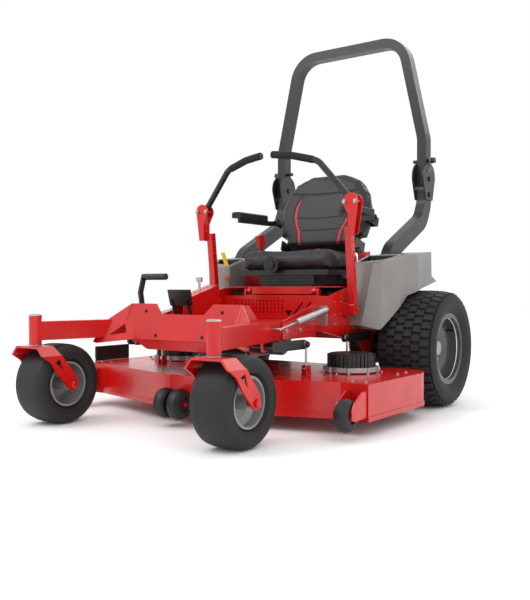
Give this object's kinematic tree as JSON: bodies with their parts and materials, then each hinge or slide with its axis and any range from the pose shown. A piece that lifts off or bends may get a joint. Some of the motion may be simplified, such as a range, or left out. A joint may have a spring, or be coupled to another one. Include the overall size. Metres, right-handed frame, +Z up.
{
  "type": "electric zero turn mower",
  "caption": "Commercial electric zero turn riding mower with folding roll bar, lap levers, sprung seat and hanging three-blade deck.",
  "frame": {"origin": "on the ground, at the middle of the machine's footprint", "axes": "+Z up, +Y towards the machine's rear, -Y forwards, +X towards the machine's left"},
  "size_m": [1.536, 1.91, 1.9],
  "materials": {
    "red_paint": "gloss powder coat",
    "red_quadrant": "gloss powder coat",
    "black_paint": "satin powder coat",
    "black_metal": "satin",
    "steel": "zinc plated",
    "grey_rim": "satin grey",
    "cast_alloy": "cast, satin",
    "tyre": "matte",
    "silver_plastic": "satin silver grey",
    "black_plastic": "satin",
    "red_plastic": "satin",
    "vinyl": "grained vinyl"
  },
  "bodies": {
    "chassis": {"frame": "red_paint", "caster_bearings_and_caps": "steel", "side_plates": "red_paint", "floor_panels": "red_paint", "battery_packs": "black_plastic", "front_plate": "red_paint", "drive_units": "black_metal", "chassis_brackets": "red_paint", "assist_springs": "steel", "rops_legs_and_hinges": "black_paint", "fenders": "silver_plastic", "consoles": "black_plastic", "console_controls": "black_plastic", "rear_cover": "black_plastic", "height_quadrant": "red_paint"},
    "deck": {"deck_shell": "red_paint", "motor_rings": "cast_alloy", "blade_motors": "black_metal", "deck_brackets": "red_paint", "lift_links": "steel"},
    "lift_front": {"lift_shaft_front": "black_paint"},
    "lift_rear": {"lift_shaft_rear": "black_paint"},
    "scalp_front": {"scalp_wheels_front": "black_plastic"},
    "chute": {"discharge_chute": "black_plastic"},
    "hoop": {"rops_hoop": "black_paint"},
    "seat_frame": {"seat_platform": "red_paint"},
    "seat": {"seat_base": "black_paint", "seat_cushion": "vinyl", "seat_belt": "red_plastic"},
    "backrest": {"seat_back": "vinyl", "seat_back_frame": "black_paint"},
    "seat_adjuster": {"seat_knob": "black_plastic"},
    "deck_pedal": {"deck_pedal": "black_paint"},
    "brake_pedal": {"brake_pedal": "black_paint"},
    "height_pin": {"height_pin": "steel"},
    "blade_centre": {"blade_centre": "steel"},
    "caster_left": {"caster_fork_left": "red_paint"},
    "front_wheel_left": {"front_rim_left": "grey_rim", "front_tyre_left": "tyre"},
    "rear_wheel_left": {"rear_rim_left": "black_metal", "rear_tyre_left": "tyre", "wheel_hub_left": "steel"},
    "blade_left": {"blade_left": "steel"},
    "scalp_left": {"scalp_wheel_left": "black_plastic"},
    "lever_left": {"lever_post_left": "red_paint"},
    "grip_left": {"lever_grip_left": "black_metal"},
    "armrest_left": {"armrest_left": "black_paint", "armrest_pad_left": "black_plastic"},
    "caster_right": {"caster_fork_right": "red_paint"},
    "front_wheel_right": {"front_rim_right": "grey_rim", "front_tyre_right": "tyre"},
    "rear_wheel_right": {"rear_rim_right": "black_metal", "rear_tyre_right": "tyre", "wheel_hub_right": "steel"},
    "blade_right": {"blade_right": "steel"},
    "scalp_right": {"scalp_wheel_right": "black_plastic"},
    "lever_right": {"lever_post_right": "red_paint"},
    "grip_right": {"lever_grip_right": "black_metal"},
    "armrest_right": {"armrest_right": "black_paint", "armrest_pad_right": "black_plastic"}
  },
  "joints": [
    {"name": "caster_swivel_left", "type": "hinge", "parent": "chassis", "child": "caster_left", "pos_m": [0.463, -0.903, 0.385], "axis": [0, 0, 1], "continuous": true},
    {"name": "front_wheel_spin_left", "type": "hinge", "parent": "caster_left", "child": "front_wheel_left", "pos_m": [0.463, -0.79, 0.165], "axis": [1, 0, 0], "continuous": true},
    {"name": "rear_wheel_spin_left", "type": "hinge", "parent": "chassis", "child": "rear_wheel_left", "pos_m": [0.6, 0.548, 0.274], "axis": [1, 0, 0], "continuous": true},
    {"name": "blade_spin_left", "type": "hinge", "parent": "deck", "child": "blade_left", "pos_m": [0.495, -0.003, 0.074], "axis": [0, 0, 1], "continuous": true},
    {"name": "scalp_wheel_spin_left", "type": "hinge", "parent": "deck", "child": "scalp_left", "pos_m": [0.722, -0.46, 0.093], "axis": [1, 0, 0], "continuous": true},
    {"name": "drive_lever_left", "type": "hinge", "parent": "chassis", "child": "lever_left", "pos_m": [0.4, 0.187, 0.463], "axis": [1, 0, 0], "range_deg": [-8, 12]},
    {"name": "lever_swing_left", "type": "hinge", "parent": "lever_left", "child": "grip_left", "pos_m": [0.427, 0.132, 0.946], "axis": [0, 1, 0], "range_deg": [0, 60]},
    {"name": "armrest_lift_left", "type": "hinge", "parent": "backrest", "child": "armrest_left", "pos_m": [0.298, 0.594, 0.915], "axis": [-1, 0, 0], "range_deg": [0, 90]},
    {"name": "caster_swivel_right", "type": "hinge", "parent": "chassis", "child": "caster_right", "pos_m": [-0.463, -0.903, 0.385], "axis": [0, 0, 1], "continuous": true},
    {"name": "front_wheel_spin_right", "type": "hinge", "parent": "caster_right", "child": "front_wheel_right", "pos_m": [-0.463, -0.79, 0.165], "axis": [1, 0, 0], "continuous": true},
    {"name": "rear_wheel_spin_right", "type": "hinge", "parent": "chassis", "child": "rear_wheel_right", "pos_m": [-0.6, 0.548, 0.274], "axis": [1, 0, 0], "continuous": true},
    {"name": "blade_spin_right", "type": "hinge", "parent": "deck", "child": "blade_right", "pos_m": [-0.495, -0.003, 0.074], "axis": [0, 0, 1], "continuous": true},
    {"name": "scalp_wheel_spin_right", "type": "hinge", "parent": "deck", "child": "scalp_right", "pos_m": [-0.722, -0.46, 0.093], "axis": [1, 0, 0], "continuous": true},
    {"name": "drive_lever_right", "type": "hinge", "parent": "chassis", "child": "lever_right", "pos_m": [-0.4, 0.187, 0.463], "axis": [1, 0, 0], "range_deg": [-8, 12]},
    {"name": "lever_swing_right", "type": "hinge", "parent": "lever_right", "child": "grip_right", "pos_m": [-0.427, 0.132, 0.946], "axis": [0, -1, 0], "range_deg": [0, 60]},
    {"name": "armrest_lift_right", "type": "hinge", "parent": "backrest", "child": "armrest_right", "pos_m": [-0.298, 0.594, 0.915], "axis": [-1, 0, 0], "range_deg": [0, 90]},
    {"name": "blade_spin_centre", "type": "hinge", "parent": "deck", "child": "blade_centre", "pos_m": [0, -0.262, 0.074], "axis": [0, 0, 1], "continuous": true},
    {"name": "scalp_wheel_spin_front", "type": "hinge", "parent": "deck", "child": "scalp_front", "pos_m": [0, -0.592, 0.093], "axis": [1, 0, 0], "continuous": true},
    {"name": "rops_fold", "type": "hinge", "parent": "chassis", "child": "hoop", "pos_m": [0, 0.884, 1.13], "axis": [-1, 0, 0], "range_deg": [0, 105]},
    {"name": "seat_tilt", "type": "hinge", "parent": "chassis", "child": "seat_frame", "pos_m": [0, 0.197, 0.545], "axis": [1, 0, 0], "range_deg": [0, 22]},
    {"name": "seat_slide", "type": "slide", "parent": "seat_frame", "child": "seat", "axis": [0, 1, 0], "range_m": [-0.03, 0.06]},
    {"name": "seat_recline", "type": "hinge", "parent": "seat", "child": "backrest", "pos_m": [0, 0.566, 0.748], "axis": [-1, 0, 0], "range_deg": [-5, 12]},
    {"name": "seat_adjust_knob", "type": "hinge", "parent": "seat", "child": "seat_adjuster", "pos_m": [-0.05, 0.183, 0.673], "axis": [0, 1, 0], "continuous": true},
    {"name": "deck_height", "type": "slide", "parent": "chassis", "child": "deck", "axis": [0, 0, 1], "range_m": [-0.025, 0.045]},
    {"name": "lift_front_turn", "type": "hinge", "parent": "chassis", "child": "lift_front", "pos_m": [0, -0.437, 0.326], "axis": [1, 0, 0], "range_deg": [-7, 12.5]},
    {"name": "lift_rear_turn", "type": "hinge", "parent": "chassis", "child": "lift_rear", "pos_m": [0, 0.348, 0.335], "axis": [1, 0, 0], "range_deg": [-12.5, 7]},
    {"name": "deck_pedal_turn", "type": "hinge", "parent": "chassis", "child": "deck_pedal", "pos_m": [-0.255, -0.47, 0.44], "axis": [1, 0, 0], "range_deg": [-9, 16]},
    {"name": "brake_pedal_turn", "type": "hinge", "parent": "chassis", "child": "brake_pedal", "pos_m": [-0.19, -0.311, 0.43], "axis": [1, 0, 0], "range_deg": [0, 20]},
    {"name": "height_pin_lift", "type": "slide", "parent": "chassis", "child": "height_pin", "axis": [0, 0, 1], "range_m": [0, 0.08]},
    {"name": "chute_turn", "type": "hinge", "parent": "deck", "child": "chute", "pos_m": [-0.762, -0.192, 0.2045], "axis": [0, -1, 0], "range_deg": [0, 90]}
  ],
  "couplings": [
    {"joint": "lift_front_turn", "follows": "deck_height", "rad_per_m": 4.566},
    {"joint": "lift_rear_turn", "follows": "deck_height", "rad_per_m": -4.566},
    {"joint": "deck_pedal_turn", "follows": "deck_height", "rad_per_m": 6}
  ]
}
